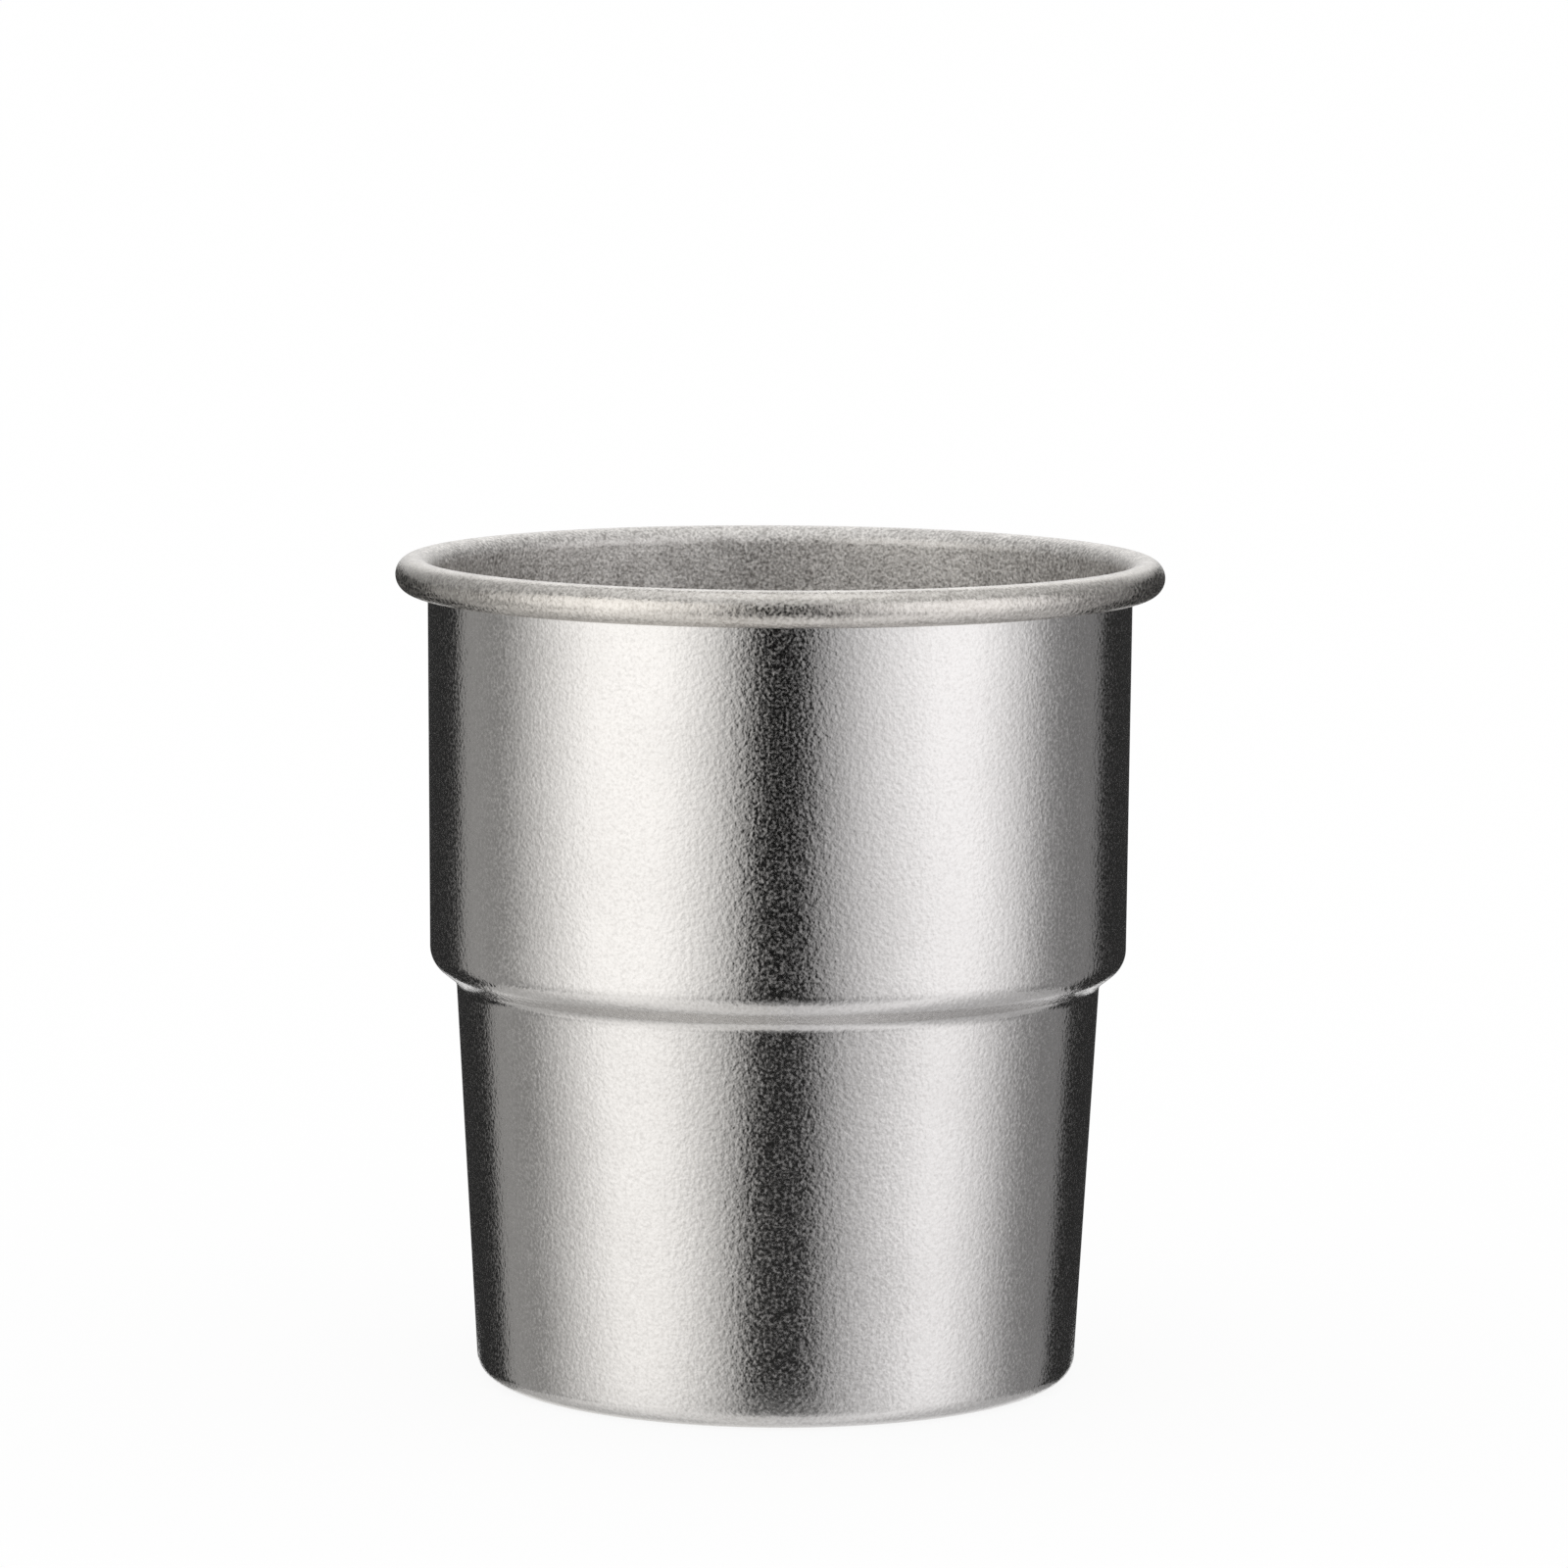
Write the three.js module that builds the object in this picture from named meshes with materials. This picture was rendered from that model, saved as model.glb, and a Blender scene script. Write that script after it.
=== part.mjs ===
// Single-walled titanium cup: a rolled rim, a nearly straight upper barrel, a rounded shoulder that steps in
// to a tapered lower barrel, and a recessed base. One sheet thickness runs through the whole cup.
// Millimetres, +Z up. The origin is the centre of the face that the cup stands on.

import * as THREE from 'three';

const { degToRad } = THREE.MathUtils;

// Driving dimensions
const RIM_DIAMETER = 80; // over the rolled bead
const UPPER_HEIGHT = 40.8; // from the shoulder's upper bend to the top of the bead
const LOWER_HEIGHT = 45.2; // from the table to the shoulder's upper bend
const SHEET = 0.4; // thickness of the metal
const CURL_DIAMETER = 3.75; // outside diameter of the rolled bead
const CURL_SLIT = 0.3; // gap between the sheet's curled-under edge and the barrel
const UPPER_DRAFT = degToRad(0.4); // lean of the upper barrel, wider at the top
const LOWER_DRAFT = degToRad(3.2); // lean of the lower barrel, wider at the top
const SHOULDER_BEND = 2.8; // outside radius of the shoulder's upper bend
const SHOULDER_TURN = degToRad(52); // how far the shoulder turns in from the upright
const SHOULDER_CONE = 1.4; // straight length between the shoulder's two bends
const LEDGE_BEND = 1.6; // outside radius of the hollow bend under the shoulder
const BASE_BEND = 2.1; // outside radius of the corner round the base
const STANDING_RING = 4; // width of the flat ring that touches the table
const RECESS_DEPTH = 0.8; // how far the middle of the base is pushed up
const RECESS_TURN = degToRad(30); // slope of the wall round the recess
const RECESS_BEND = 1; // outside radius of the two bends round the recess
const FLANGE = 3; // straight metal left past the last bend of a formed piece, up to its butt seam

// Smoothness of the round stretches
const TURN_STEPS = 64;
const CURL_STEPS = 14;
const BEND_STEPS = 5;
const RECESS_STEPS = 2;

// A station is a pair of points that face each other across the sheet, in the (radius, height) plane.
// The outer one is on the side that is the outside of the barrels.

function bentStation(centre, radius, angle) {
  const across = new THREE.Vector2(Math.cos(angle), Math.sin(angle));
  return {
    outer: centre.clone().addScaledVector(across, radius),
    inner: centre.clone().addScaledVector(across, radius - SHEET),
  };
}

// Stations round a bend. The angle is the direction that the sheet's outer side faces.
// A negative radius puts the centre of the bend on the outer side.
function bend(centre, radius, fromAngle, toAngle, steps) {
  const stations = [];
  for (let step = 0; step <= steps; step += 1) {
    const angle = THREE.MathUtils.lerp(fromAngle, toAngle, step / steps);
    stations.push(bentStation(centre, radius, angle));
  }
  return stations;
}

// A straight barrel that passes through one station with a given lean.
function barrel(through, draft) {
  const { x: radius, y: height } = through.outer;
  return {
    radiusAt: (z) => radius + (z - height) * Math.tan(draft),
    wallAcross: SHEET / Math.cos(draft),
  };
}

// The level cut where two pieces meet on a straight barrel.
function seam(wall, z) {
  const radius = wall.radiusAt(z);
  return {
    outer: new THREE.Vector2(radius, z),
    inner: new THREE.Vector2(radius - wall.wallAcross, z),
  };
}

// The outline of a run of sheet: along its outer side, and back along its inner side.
function sheetOutline(stations) {
  const outer = stations.map((station) => station.outer);
  const inner = stations.map((station) => station.inner).reverse();
  return [...outer, ...inner];
}

// Turns an outline round the cup's upright axis.
function turned(outline) {
  const geometry = new THREE.LatheGeometry(outline, TURN_STEPS);
  return geometry.rotateX(Math.PI / 2);
}

function ringOfSheet(stations) {
  const outline = sheetOutline(stations);
  return turned([...outline, outline[0].clone()]);
}

// Rolled rim: the sheet leaves the barrel upwards, turns out over the top and curls back under itself.
const height = LOWER_HEIGHT + UPPER_HEIGHT;
const curlRadius = CURL_DIAMETER / 2;
const curlHollow = curlRadius - SHEET;
const curlCentre = new THREE.Vector2(RIM_DIAMETER / 2 - curlRadius, height - curlRadius);
const curlStart = -UPPER_DRAFT;
const upperBarrel = barrel(bentStation(curlCentre, -curlHollow, curlStart), UPPER_DRAFT);
const edgeRadius = upperBarrel.radiusAt(curlCentre.y) + CURL_SLIT;
const curlEnd = Math.acos((curlCentre.x - edgeRadius) / curlRadius) - 2 * Math.PI;
const rimSeam = seam(upperBarrel, height - CURL_DIAMETER - FLANGE);
const rimStations = [rimSeam, ...bend(curlCentre, -curlHollow, curlStart, curlEnd, CURL_STEPS)];

// Shoulder: a full outward bend, a short cone and a tight hollow bend into the lower barrel.
const shoulderFacing = -SHOULDER_TURN;
const shoulderCentre = new THREE.Vector2(
  upperBarrel.radiusAt(LOWER_HEIGHT) - SHOULDER_BEND / Math.cos(UPPER_DRAFT),
  LOWER_HEIGHT,
);
const coneTop = bentStation(shoulderCentre, SHOULDER_BEND, shoulderFacing).outer;
const ledgeCentre = new THREE.Vector2(
  coneTop.x + SHOULDER_CONE * Math.sin(shoulderFacing) + LEDGE_BEND * Math.cos(shoulderFacing),
  coneTop.y - SHOULDER_CONE * Math.cos(shoulderFacing) + LEDGE_BEND * Math.sin(shoulderFacing),
);
const ledgeFoot = bentStation(ledgeCentre, -LEDGE_BEND, -LOWER_DRAFT);
const lowerBarrel = barrel(ledgeFoot, LOWER_DRAFT);
const shoulderSeam = seam(upperBarrel, LOWER_HEIGHT + FLANGE);
const ledgeSeam = seam(lowerBarrel, ledgeFoot.outer.y - FLANGE);
const shoulderStations = [
  ledgeSeam,
  ...bend(ledgeCentre, -LEDGE_BEND, -LOWER_DRAFT, shoulderFacing, BEND_STEPS),
  ...bend(shoulderCentre, SHOULDER_BEND, shoulderFacing, -UPPER_DRAFT, BEND_STEPS),
  shoulderSeam,
];

// Base: a pan with a round corner, a flat ring to stand on and a shallow recess inside the ring.
const down = -Math.PI / 2;
const cornerCentre = new THREE.Vector2(
  lowerBarrel.radiusAt(BASE_BEND) - BASE_BEND / Math.cos(LOWER_DRAFT),
  BASE_BEND,
);
const baseSeam = seam(lowerBarrel, BASE_BEND + FLANGE);
const recessFacing = down - RECESS_TURN;
const ringInside = new THREE.Vector2(cornerCentre.x - STANDING_RING, RECESS_BEND);
const recessRun = (RECESS_DEPTH - 2 * RECESS_BEND * (1 - Math.cos(RECESS_TURN))) / Math.tan(RECESS_TURN);
const recessEdge = new THREE.Vector2(
  ringInside.x - 2 * RECESS_BEND * Math.sin(RECESS_TURN) - recessRun,
  RECESS_DEPTH - RECESS_BEND,
);
const baseMiddle = {
  outer: new THREE.Vector2(0, RECESS_DEPTH),
  inner: new THREE.Vector2(0, RECESS_DEPTH + SHEET),
};
const baseStations = [
  baseMiddle,
  ...bend(recessEdge, -RECESS_BEND, down, recessFacing, RECESS_STEPS),
  ...bend(ringInside, RECESS_BEND, recessFacing, down, RECESS_STEPS),
  ...bend(cornerCentre, BASE_BEND, down, -LOWER_DRAFT, BEND_STEPS),
  baseSeam,
];

// The pieces, from the rim down. They meet on level butt seams.
const cup = new THREE.Group();

function addPiece(name, geometry, roughness) {
  const titanium = new THREE.MeshStandardMaterial({ color: 0xb4b0a8, metalness: 1, roughness });
  const piece = new THREE.Mesh(geometry, titanium);
  piece.name = name;
  cup.add(piece);
}

addPiece('rim_curl', ringOfSheet(rimStations), 0.35);
addPiece('upper_wall', ringOfSheet([shoulderSeam, rimSeam]), 0.4);
addPiece('shoulder', ringOfSheet(shoulderStations), 0.35);
addPiece('lower_wall', ringOfSheet([baseSeam, ledgeSeam]), 0.4);
addPiece('base', turned(sheetOutline(baseStations)), 0.4);

export default cup;
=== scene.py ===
"""Looks of the titanium cup: finely turned sheet pieces, a blasted metal finish and a plain white studio.

Lengths are metres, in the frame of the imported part: +Z up, origin under the cup.
Angles are radians, apart from the studio's, which are degrees.
"""

import math
from typing import NamedTuple

import bpy
from mathutils import Matrix, Vector


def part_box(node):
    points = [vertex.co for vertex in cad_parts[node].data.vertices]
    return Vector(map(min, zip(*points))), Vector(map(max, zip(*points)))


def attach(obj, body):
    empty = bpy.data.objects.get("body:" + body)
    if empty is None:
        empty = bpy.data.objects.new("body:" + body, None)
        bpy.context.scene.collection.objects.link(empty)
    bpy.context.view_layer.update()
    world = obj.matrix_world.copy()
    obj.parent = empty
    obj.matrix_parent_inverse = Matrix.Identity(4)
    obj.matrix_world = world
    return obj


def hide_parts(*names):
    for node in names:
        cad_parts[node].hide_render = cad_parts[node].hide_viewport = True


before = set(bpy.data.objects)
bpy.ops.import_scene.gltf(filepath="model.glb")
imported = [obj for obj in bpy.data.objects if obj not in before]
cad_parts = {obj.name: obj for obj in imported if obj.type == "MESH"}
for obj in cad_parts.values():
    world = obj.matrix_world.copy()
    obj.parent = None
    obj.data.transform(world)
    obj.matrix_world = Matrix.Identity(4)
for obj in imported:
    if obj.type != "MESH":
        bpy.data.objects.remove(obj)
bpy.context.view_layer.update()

MM = 0.001

# The sheet's bends, as in the solids
SHEET = 0.4 * MM
CURL_RADIUS = 1.875 * MM
CURL_SLIT = 0.3 * MM
UPPER_DRAFT = math.radians(0.4)
LOWER_DRAFT = math.radians(3.2)
SHOULDER_BEND = 2.8 * MM
SHOULDER_TURN = math.radians(52)
SHOULDER_CONE = 1.4 * MM
LEDGE_BEND = 1.6 * MM
BASE_BEND = 2.1 * MM
STANDING_RING = 4 * MM
RECESS_DEPTH = 0.8 * MM
RECESS_TURN = math.radians(30)
RECESS_BEND = 1 * MM
FLANGE = 3 * MM

# Fineness of the visible meshes
TURN_STEPS = 256
BEND_STEP = math.radians(5)
WALL_STEP = 1.5 * MM

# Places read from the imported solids
DECIMALS = 4  # the rim's facets fall just short of its true size, so that is rounded to 0.1 mm
RIM_RADIUS = round(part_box("rim_curl")[1].x, DECIMALS)
HEIGHT = round(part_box("rim_curl")[1].z, DECIMALS)
RIM_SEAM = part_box("upper_wall")[1].z
SHOULDER_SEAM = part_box("upper_wall")[0].z
LEDGE_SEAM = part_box("lower_wall")[1].z
BASE_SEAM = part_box("lower_wall")[0].z
SHOULDER_HEIGHT = SHOULDER_SEAM - FLANGE

# The photograph's camera
CAMERA_DISTANCE = 0.740
CAMERA_HEIGHT = 0.15177
CAMERA_PITCH = 0.12052
CAMERA_YAW = 0.0007
CAMERA_ROLL = 0.00616
FOCAL_PIXELS = 7286
PHOTO_PIXELS = 1600
SENSOR_MM = 36


# Sheet outlines

def bent_station(centre, radius, angle):
    """A station: the two points across the sheet, outer side first. A point is a radius and a height."""
    across = Vector((math.cos(angle), math.sin(angle)))
    return centre + across * radius, centre + across * (radius - SHEET)


def bend(centre, radius, start, end):
    """Stations round a bend. A negative radius puts its centre on the sheet's outer side."""
    steps = max(2, math.ceil(abs(end - start) / BEND_STEP))
    angles = [start + (end - start) * step / steps for step in range(steps + 1)]
    return [bent_station(centre, radius, angle) for angle in angles]


class Barrel:
    """A straight stretch of sheet that passes through one station with a given lean."""

    def __init__(self, through, draft):
        self.through = through[0]
        self.draft = draft

    def radius(self, z):
        return self.through.x + (z - self.through.y) * math.tan(self.draft)

    def cut(self, z):
        outer = self.radius(z)
        return Vector((outer, z)), Vector((outer - SHEET / math.cos(self.draft), z))


def straight(start, end):
    """Stations between two others, so that a long wall has even faces."""
    steps = max(1, round((end[0] - start[0]).length / WALL_STEP))
    return [
        tuple(near.lerp(far, step / steps) for near, far in zip(start, end))
        for step in range(1, steps)
    ]


curl_hollow = CURL_RADIUS - SHEET
curl_centre = Vector((RIM_RADIUS - CURL_RADIUS, HEIGHT - CURL_RADIUS))
upper_barrel = Barrel(bent_station(curl_centre, -curl_hollow, -UPPER_DRAFT), UPPER_DRAFT)

shoulder_centre = Vector((
    upper_barrel.radius(SHOULDER_HEIGHT) - SHOULDER_BEND / math.cos(UPPER_DRAFT),
    SHOULDER_HEIGHT,
))
cone_top = bent_station(shoulder_centre, SHOULDER_BEND, -SHOULDER_TURN)[0]
ledge_centre = cone_top + Vector((
    LEDGE_BEND * math.cos(SHOULDER_TURN) - SHOULDER_CONE * math.sin(SHOULDER_TURN),
    -LEDGE_BEND * math.sin(SHOULDER_TURN) - SHOULDER_CONE * math.cos(SHOULDER_TURN),
))
lower_barrel = Barrel(bent_station(ledge_centre, -LEDGE_BEND, -LOWER_DRAFT), LOWER_DRAFT)


def rim_stations():
    edge = upper_barrel.radius(curl_centre.y) + CURL_SLIT
    end = math.acos((curl_centre.x - edge) / CURL_RADIUS) - 2 * math.pi
    curl = bend(curl_centre, -curl_hollow, -UPPER_DRAFT, end)
    seam = upper_barrel.cut(RIM_SEAM)
    return [seam, *straight(seam, curl[0]), *curl]


def wall_stations(barrel, low, high):
    start, end = barrel.cut(low), barrel.cut(high)
    return [start, *straight(start, end), end]


def shoulder_stations():
    ledge = bend(ledge_centre, -LEDGE_BEND, -LOWER_DRAFT, -SHOULDER_TURN)
    shoulder = bend(shoulder_centre, SHOULDER_BEND, -SHOULDER_TURN, -UPPER_DRAFT)
    low, high = lower_barrel.cut(LEDGE_SEAM), upper_barrel.cut(SHOULDER_SEAM)
    return [low, *straight(low, ledge[0]), *ledge, *shoulder, *straight(shoulder[-1], high), high]


def base_stations():
    down = -math.pi / 2
    corner = Vector((lower_barrel.radius(BASE_BEND) - BASE_BEND / math.cos(LOWER_DRAFT), BASE_BEND))
    ring = Vector((corner.x - STANDING_RING, RECESS_BEND))
    run = (RECESS_DEPTH - 2 * RECESS_BEND * (1 - math.cos(RECESS_TURN))) / math.tan(RECESS_TURN)
    edge = Vector((ring.x - 2 * RECESS_BEND * math.sin(RECESS_TURN) - run, RECESS_DEPTH - RECESS_BEND))
    middle = Vector((0, RECESS_DEPTH)), Vector((0, RECESS_DEPTH + SHEET))
    inner_bend = bend(edge, -RECESS_BEND, down, down - RECESS_TURN)
    outer_bend = bend(ring, RECESS_BEND, down - RECESS_TURN, down)
    corner_bend = bend(corner, BASE_BEND, down, -LOWER_DRAFT)
    seam = lower_barrel.cut(BASE_SEAM)
    return [
        middle, *straight(middle, inner_bend[0]), *inner_bend, *outer_bend,
        *straight(outer_bend[-1], corner_bend[0]), *corner_bend, *straight(corner_bend[-1], seam), seam,
    ]


# Meshes

def new_mesh(name, vertices, faces):
    mesh = bpy.data.meshes.new(name)
    mesh.from_pydata(vertices, [], faces)
    return mesh


def add_object(name, data):
    thing = bpy.data.objects.new(name, data)
    bpy.context.scene.collection.objects.link(thing)
    return thing


def turned_rows(outline):
    """Vertices of an outline turned round the cup's axis, and a row of their numbers for each point."""
    vertices, rows = [], []
    for point in outline:
        first = len(vertices)
        if point.x < SHEET:
            vertices.append((0, 0, point.y))
            rows.append([first] * TURN_STEPS)
            continue
        for step in range(TURN_STEPS):
            angle = 2 * math.pi * step / TURN_STEPS
            vertices.append((point.x * math.cos(angle), point.x * math.sin(angle), point.y))
        rows.append(range(first, first + TURN_STEPS))
    return vertices, rows


def turned_sheet(name, stations):
    """A closed, turned piece of sheet. Its outer side has material slot 0, its inner side slot 1."""
    outline = [outer for outer, inner in stations] + [inner for outer, inner in reversed(stations)]
    vertices, rows = turned_rows(outline)
    end = len(stations)
    cut_edges = [rows[end - 1], rows[end]]
    spans = len(rows) - 1
    if outline[0].x > SHEET:
        cut_edges += [rows[0], rows[-1]]
        spans += 1
    faces, sides = [], []
    for span in range(spans):
        low, high = rows[span], rows[(span + 1) % len(rows)]
        for step in range(TURN_STEPS):
            after = (step + 1) % TURN_STEPS
            corners = (low[step], low[after], high[after], high[step])
            faces.append(tuple(dict.fromkeys(corners)))  # a triangle where two corners meet on the axis
            sides.append(0 if span < end else 1)
    mesh = new_mesh(name, vertices, faces)
    mesh.polygons.foreach_set("material_index", sides)
    mesh.polygons.foreach_set("use_smooth", [True] * len(faces))
    mesh.update()
    mark_sharp(mesh, cut_edges)
    return add_object(name, mesh)


def mark_sharp(mesh, loops):
    """The cut edges of the sheet stay sharp, so that no shading bleeds round them."""
    sharp = set()
    for loop in loops:
        sharp |= {frozenset((loop[step - 1], loop[step])) for step in range(TURN_STEPS)}
    flags = [frozenset(edge.vertices) in sharp for edge in mesh.edges]
    mesh.attributes.new("sharp_edge", "BOOLEAN", "EDGE").data.foreach_set("value", flags)


# Materials

NOISE_LOW = 0.3  # most of a noise lies between these two
NOISE_HIGH = 0.7


class Nodes:
    """Short calls for making and joining the nodes of one material."""

    def __init__(self, name):
        self.material = bpy.data.materials.new(name)
        self.material.use_nodes = True
        self.tree = self.material.node_tree
        self.tree.nodes.clear()

    def add(self, kind, inputs=None, **settings):
        node = self.tree.nodes.new(kind)
        for key, value in settings.items():
            setattr(node, key, value)
        for key, value in (inputs or {}).items():
            if isinstance(value, bpy.types.NodeSocket):
                self.tree.links.new(value, node.inputs[key])
            else:
                node.inputs[key].default_value = value
        return node

    def noise(self, place, size, detail):
        inputs = {"Vector": place, "Scale": 1 / size, "Detail": detail}
        return self.add("ShaderNodeTexNoise", inputs).outputs["Fac"]

    def spread(self, noise, low, high):
        """A noise, stretched to run from low to high."""
        limits = {"From Min": NOISE_LOW, "From Max": NOISE_HIGH, "To Min": low, "To Max": high}
        return self.add("ShaderNodeMapRange", {"Value": noise, **limits}).outputs["Result"]

    def sum_of(self, first, second):
        return self.add("ShaderNodeMath", {0: first, 1: second}, operation="ADD").outputs[0]

    def blend(self, share, first, second):
        return self.add("ShaderNodeMix", {0: share, 2: first, 3: second}).outputs[0]

    def tint(self, share, first, second):
        return self.add("ShaderNodeMix", {0: share, 6: first, 7: second}, data_type="RGBA").outputs[2]

    def surface(self, shader):
        self.add("ShaderNodeOutputMaterial", {"Surface": shader})
        return self.material


class Finish(NamedTuple):
    """A blasted finish: the depth of its grain, its two greys, and its least and most roughness."""

    depth: float
    dark: tuple
    light: tuple
    smooth: float
    rough: float


SATIN = Finish(0.013 * MM, (0.51, 0.5, 0.49, 1), (0.69, 0.68, 0.67, 1), 0.05, 0.3)
ROLLED = Finish(0.018 * MM, (0.4, 0.38, 0.355, 1), (0.75, 0.725, 0.69, 1), 0.14, 0.42)
# The inside's greys hold the real blasted grain, but they are set lighter than the outside's: painted
# light that brightens the shaded inside of the cup.
MATTE_PAINTED_LIGHTER = Finish(0.022 * MM, (0.34, 0.325, 0.31, 1), (0.94, 0.92, 0.895, 1), 0.36, 0.64)
GRAIN = 0.45 * MM
PIT = 0.315 * MM
FINE_DETAIL = 1
OUTSIDE_CLOUD = 12 * MM
INSIDE_CLOUD = 2.5 * MM
CLOUD_DETAIL = 2
CLOUD_SHARE = 0.22  # the clouds' part in the change of shade; the rest is the pits'
BEAD_BLEND = 0.8 * MM  # width over which the inside's finish turns into the bead's, out from the top


def blasted_titanium(name, finish, cloud, bead=None):
    """Bare blasted metal. A bead, where given, is the finish of what lies outside the top of the rim."""
    nodes = Nodes(name)
    place = nodes.add("ShaderNodeTexCoord").outputs["Object"]
    grain = nodes.noise(place, GRAIN, FINE_DETAIL)
    pits = nodes.noise(place, PIT, FINE_DETAIL)
    clouds = nodes.noise(place, cloud, CLOUD_DETAIL)
    shade = nodes.sum_of(nodes.spread(pits, 0, 1 - CLOUD_SHARE), nodes.spread(clouds, 0, CLOUD_SHARE))
    colour = nodes.tint(shade, finish.dark, finish.light)
    roughness = nodes.spread(pits, finish.smooth, finish.rough)
    strength = 1.0
    if bead:
        flat = nodes.add("ShaderNodeVectorMath", {0: place, 1: (1, 1, 0)}, operation="MULTIPLY")
        length = nodes.add("ShaderNodeVectorMath", {0: flat.outputs["Vector"]}, operation="LENGTH")
        radius = length.outputs["Value"]
        limits = {"From Min": curl_centre.x, "From Max": curl_centre.x + BEAD_BLEND}
        share = nodes.add("ShaderNodeMapRange", {"Value": radius, **limits}).outputs["Result"]
        colour = nodes.tint(share, colour, nodes.tint(shade, bead.dark, bead.light))
        roughness = nodes.blend(share, roughness, nodes.spread(pits, bead.smooth, bead.rough))
        strength = nodes.blend(share, strength, bead.depth / finish.depth)
    relief = {"Strength": strength, "Distance": finish.depth, "Height": nodes.spread(grain, 0, 1)}
    shader = nodes.add("ShaderNodeBsdfPrincipled", {
        "Base Color": colour,
        "Metallic": 1.0,
        "Roughness": roughness,
        "Normal": nodes.add("ShaderNodeBump", relief).outputs["Normal"],
    })
    return nodes.surface(shader.outputs["BSDF"])


outside = blasted_titanium("titanium_outside", SATIN, OUTSIDE_CLOUD)
inside = blasted_titanium("titanium_inside", MATTE_PAINTED_LIGHTER, INSIDE_CLOUD, bead=ROLLED)


# Pieces

def dress(node, stations):
    piece = turned_sheet(f"{node}_sheet", stations)
    piece.data.materials.append(outside)
    piece.data.materials.append(inside)
    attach(piece, "root")
    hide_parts(node)


dress("rim_curl", rim_stations())
dress("upper_wall", wall_stations(upper_barrel, SHOULDER_SEAM, RIM_SEAM))
dress("shoulder", shoulder_stations())
dress("lower_wall", wall_stations(lower_barrel, BASE_SEAM, LEDGE_SEAM))
dress("base", base_stations())


# Studio: a white room and floor. Round the cup is a tent of soft light that shows only as a reflection.

TENT_RADIUS = 0.9
TENT_TOP = 0.95
LEFT, RIGHT = -1, 1
LEFT_TINT = (1.0, 0.985, 0.965, 1)
RIGHT_TINT = (0.995, 0.985, 0.995, 1)
WHITE = (1, 1, 1, 1)

# Heights of the two walls, and the degrees from the camera's side over which they change
FRONT_BOTTOM = -0.95
SIDE_BOTTOM = -0.5
BOTTOM_CHANGE = (20, 60)
MIDDLE = -0.32
FRONT_TOP = 0.68
SIDE_TOP = 0.75
SIDE_CHANGE = (20, 40)
BACK_TOP = 0.12
BACK_CHANGE = (70, 110)

# Glow of the two walls, as degrees from the camera's side and the level there
LEFT_WALL = (
    (0, 0.01), (6.5, 0.01), (12, 0.58), (22, 1.14), (36, 1.62), (62, 1.6),
    (82, 0.9), (100, 0.34), (127, 0.4), (135, 0.15), (160, 0.15),
)
RIGHT_WALL = (
    (0, 0.01), (7, 0.01), (12.5, 0.46), (32, 1.12), (50, 1.54), (66, 1.5),
    (80, 1.05), (98, 0.34), (110, 0.25), (128, 0.27), (160, 0.25),
)
MIDDLE_SHARE = 0.8  # how much of that level is left at the middle height, where MIDDLE_GLOW is added
MIDDLE_GLOW = 0.03
BACK_GLOW = 0.06  # added to MIDDLE_GLOW at the back
BACK_GLOW_RISE = (75, 100)  # degrees over which that comes in
LOW_SHARE = 0.64  # how much of it is left at the bottom, where LOW_GLOW is added
LOW_GLOW = 0.14
FRONT_GLOW = 0.4  # added to LOW_GLOW in front
FRONT_GLOW_FALL = (10, 40)  # degrees over which that fades
LEFT_SPREAD = 8  # degrees by which the dark gap in front is wider from the middle height down
RIGHT_SPREAD = 13
SPREAD_END = 60  # degrees at which that widening ends

# Glow of the sheet below: in the middle, and round its rim as for the walls
UNDER_GLOW = 0.8
LEFT_RIM = ((0, 0.75), (25, 0.9), (55, 1.4), (80, 1.1), (110, 0.6), (140, 0.5), (160, 1.0), (180, 1.0))
RIGHT_RIM = ((0, 0.75), (25, 0.9), (55, 1.35), (80, 0.8), (110, 0.5), (140, 0.5), (160, 1.0), (180, 1.0))

# The wall behind
REAR_RADIUS = 0.927
REAR_TURNS = range(30, 331, 10)
STRAIGHT_BEHIND = 180
REAR_GLOW = 0.8
SIDE_GLOW = 0.25
SIDE_GLOW_FALL = (8, 40)  # degrees from straight behind
REAR_RISE = 2.5  # the glow at the top, against the bottom

# The ceiling, as radius and glow
CEILING = ((0, 1.25), (0.25, 1.25), (0.45, 0.85), (1.2, 0.65))
CEILING_STEPS = 48

# The paper before the foot
FOOT_REACH = 16 * MM
FOOT_COVER = 0.26  # how much it hides, at the foot and straight in front
FOOT_GLOW = 0.85
FOOT_TURNS = range(-70, 71, 10)
FOOT_FALL = (20, 70)  # degrees over which the cover fades to either side

# Dark flags, as the degrees of their two ends and the heights of their two edges
NEAR_RADIUS = 0.2
LEFT_FLAG = ((118.5, 156), (-0.08, 0.105))
RIGHT_FLAG = ((119.5, 156), (-0.08, 0.125))
REAR_FLAG = ((160, 178), (-0.19, 0.05))
FLAG_GLOW = 0.03
FLAG_STEPS = 8

# The floor
FLOOR_SIZE = 60.0
FLOOR_WHITE = 0.88  # share of plain white in what is seen; the rest is paper, with the cup's shadow
PAPER = (0.98, 0.98, 0.98, 1)


def grid_faces(columns, rows):
    """Faces of a sheet whose points are listed column by column."""
    faces = []
    for column in range(columns - 1):
        for row in range(rows - 1):
            corner = rows * column + row
            faces.append((corner, corner + 1, corner + rows + 1, corner + rows))
    return faces


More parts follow.
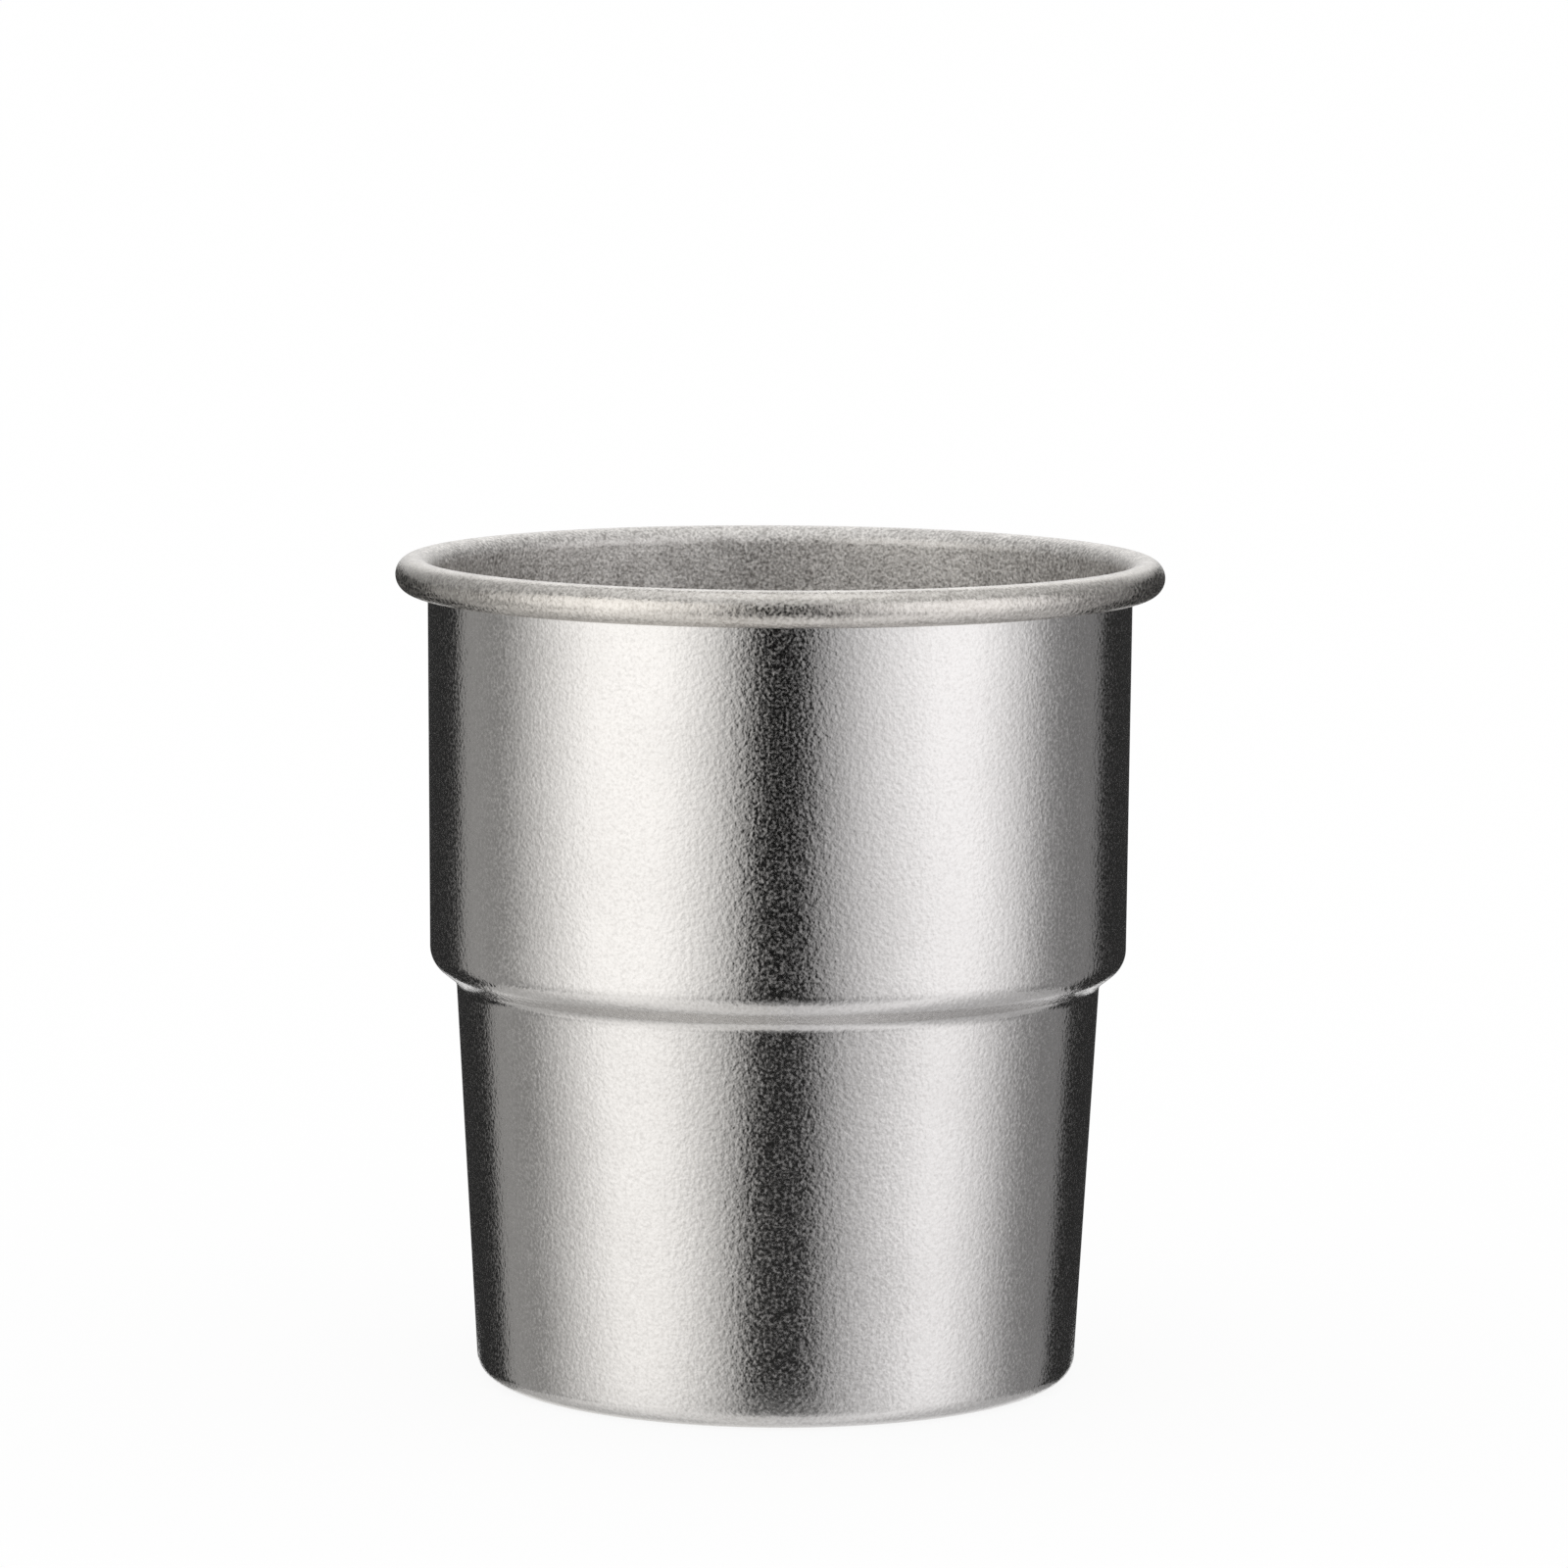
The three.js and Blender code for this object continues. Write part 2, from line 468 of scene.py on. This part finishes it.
def tent_panel(name, vertices, glow, tint, rows, cover=None):
    """A glowing sheet that the camera and the floor don't see. Its cover, if any, is how much it hides."""
    mesh = new_mesh(name, vertices, grid_faces(len(vertices) // rows, rows))
    mesh.attributes.new("glow", "FLOAT", "POINT").data.foreach_set("value", glow)
    nodes = Nodes(name)
    level = nodes.add("ShaderNodeAttribute", attribute_name="glow").outputs["Fac"]
    sheet = nodes.add("ShaderNodeEmission", {"Color": tint, "Strength": level}).outputs[0]
    if cover:
        mesh.attributes.new("cover", "FLOAT", "POINT").data.foreach_set("value", cover)
        share = nodes.add("ShaderNodeAttribute", attribute_name="cover").outputs["Fac"]
        clear = nodes.add("ShaderNodeBsdfTransparent").outputs[0]
        sheet = nodes.add("ShaderNodeMixShader", {0: share, 1: clear, 2: sheet}).outputs[0]
    mesh.materials.append(nodes.surface(sheet))
    nodes.material.cycles.emission_sampling = "NONE"
    panel = add_object(name, mesh)
    panel.visible_camera = False
    panel.visible_diffuse = False


def ease(value, limits):
    """A smooth rise from 0 at the first limit to 1 at the second."""
    start, end = limits
    share = min(max((value - start) / (end - start), 0), 1)
    return share * share * (3 - 2 * share)


def tent_point(side, degrees, z, radius=TENT_RADIUS):
    turn = math.radians(degrees) * side
    return radius * math.sin(turn), -radius * math.cos(turn), z


def tent_bottom(degrees):
    return FRONT_BOTTOM + (SIDE_BOTTOM - FRONT_BOTTOM) * ease(degrees, BOTTOM_CHANGE)


def light_wall(name, side, columns, gap_spread, tint):
    """A curved upright wall whose glow changes smoothly from column to column."""
    vertices, glow = [], []
    for angle, level in columns:
        top = FRONT_TOP + (SIDE_TOP - FRONT_TOP) * ease(angle, SIDE_CHANGE)
        top += (BACK_TOP - SIDE_TOP) * ease(angle, BACK_CHANGE)
        low_angle = angle + gap_spread * math.sin(math.pi * min(angle / SPREAD_END, 1))
        vertices.append(tent_point(side, low_angle, tent_bottom(angle)))
        vertices.append(tent_point(side, low_angle, MIDDLE))
        vertices.append(tent_point(side, angle, 0))
        vertices.append(tent_point(side, angle, top))
        glow.append(level * LOW_SHARE + LOW_GLOW + FRONT_GLOW * (1 - ease(angle, FRONT_GLOW_FALL)))
        glow.append(level * MIDDLE_SHARE + MIDDLE_GLOW + BACK_GLOW * ease(angle, BACK_GLOW_RISE))
        glow += [level, level]
    tent_panel(name, vertices, glow, tint, rows=4)


def light_below(name, side, columns, tint):
    """Half of the sheet below the cup, seen in the parts that face down."""
    vertices, glow = [], []
    for angle, level in columns:
        vertices += [(0, 0, FRONT_BOTTOM), tent_point(side, angle, tent_bottom(angle))]
        glow += [UNDER_GLOW, level]
    tent_panel(name, vertices, glow, tint, rows=2)


def light_behind():
    """The dimmer wall behind the cup, over the flags, from one side round to the other."""
    vertices, glow = [], []
    for turn in REAR_TURNS:
        vertices += [tent_point(RIGHT, turn, z, REAR_RADIUS) for z in (BACK_TOP, TENT_TOP)]
        aside = ease(abs(turn - STRAIGHT_BEHIND), SIDE_GLOW_FALL)
        level = REAR_GLOW + (SIDE_GLOW - REAR_GLOW) * aside
        glow += [level, level * REAR_RISE]
    tent_panel("behind", vertices, glow, WHITE, rows=2)


def light_above():
    """A round ceiling, bright in the middle."""
    turns = [360 * step / CEILING_STEPS for step in range(CEILING_STEPS + 1)]
    vertices = [tent_point(RIGHT, turn, TENT_TOP, radius) for turn in turns for radius, level in CEILING]
    glow = [level for turn in turns for radius, level in CEILING]
    tent_panel("above", vertices, glow, WHITE, rows=len(CEILING))


def light_at_foot():
    """The paper close before the foot, which shows faintly in the lowest part of the wall."""
    foot = lower_barrel.radius(0)
    edges = foot - BASE_BEND, foot, foot + FOOT_REACH
    vertices, cover = [], []
    for turn in FOOT_TURNS:
        vertices += [tent_point(RIGHT, turn, 0, edge) for edge in edges]
        share = FOOT_COVER * (1 - ease(abs(turn), FOOT_FALL))
        cover += [share, share, 0]
    glow = [FOOT_GLOW] * len(vertices)
    tent_panel("at_foot", vertices, glow, WHITE, rows=len(edges), cover=cover)


def dark_flag(name, side, radius, turns, heights):
    """A dark sheet that the cup mirrors along its outline, so that it stands out from the white."""
    start, end = turns
    columns = [start + (end - start) * step / FLAG_STEPS for step in range(FLAG_STEPS + 1)]
    vertices = [tent_point(side, column, z, radius) for column in columns for z in heights]
    tent_panel(name, vertices, [FLAG_GLOW] * len(vertices), WHITE, rows=len(heights))


def white_floor():
    half = FLOOR_SIZE / 2
    corners = [(-half, -half, 0), (half, -half, 0), (half, half, 0), (-half, half, 0)]
    mesh = new_mesh("floor", corners, [(0, 1, 2, 3)])
    nodes = Nodes("floor_white")
    ray = nodes.add("ShaderNodeLightPath").outputs
    mirrored = nodes.sum_of(ray["Is Glossy Ray"], ray["Is Transmission Ray"])
    seen = nodes.sum_of(ray["Is Camera Ray"], mirrored)
    share = nodes.add("ShaderNodeMath", {0: seen, 1: FLOOR_WHITE}, operation="MULTIPLY").outputs[0]
    paper = nodes.add("ShaderNodeBsdfDiffuse", {"Color": PAPER}).outputs[0]
    white = nodes.add("ShaderNodeEmission", {"Color": WHITE, "Strength": 1.0}).outputs[0]
    mixed = nodes.add("ShaderNodeMixShader", {0: share, 1: paper, 2: white}).outputs[0]
    mesh.materials.append(nodes.surface(mixed))
    floor = add_object("floor", mesh)
    floor.visible_glossy = False


def white_room():
    world = bpy.data.worlds.new("studio")
    world.use_nodes = True
    background = world.node_tree.nodes["Background"]
    background.inputs["Color"].default_value = WHITE
    background.inputs["Strength"].default_value = 1.0
    world.cycles.sampling_method = "NONE"
    bpy.context.scene.world = world


def photo_camera():
    camera = bpy.data.cameras.new("camera")
    camera.sensor_width = SENSOR_MM
    camera.lens = SENSOR_MM * FOCAL_PIXELS / PHOTO_PIXELS
    holder = add_object("camera", camera)
    heading = Matrix.Rotation(-CAMERA_YAW, 4, "Z")
    tilt = Matrix.Rotation(math.pi / 2 - CAMERA_PITCH, 4, "X")
    lean = Matrix.Rotation(CAMERA_ROLL, 4, "Z")
    place = Matrix.Translation((0, -CAMERA_DISTANCE, CAMERA_HEIGHT))
    holder.matrix_world = place @ heading @ tilt @ lean
    bpy.context.scene.camera = holder


light_wall("left_wall", LEFT, LEFT_WALL, LEFT_SPREAD, LEFT_TINT)
light_wall("right_wall", RIGHT, RIGHT_WALL, RIGHT_SPREAD, RIGHT_TINT)
light_below("left_below", LEFT, LEFT_RIM, LEFT_TINT)
light_below("right_below", RIGHT, RIGHT_RIM, RIGHT_TINT)
light_behind()
light_above()
light_at_foot()
dark_flag("left_flag", LEFT, NEAR_RADIUS, *LEFT_FLAG)
dark_flag("right_flag", RIGHT, NEAR_RADIUS, *RIGHT_FLAG)
dark_flag("left_rear_flag", LEFT, TENT_RADIUS, *REAR_FLAG)
dark_flag("right_rear_flag", RIGHT, TENT_RADIUS, *REAR_FLAG)
white_floor()
white_room()
photo_camera()
bpy.context.scene.view_settings.view_transform = "Standard"
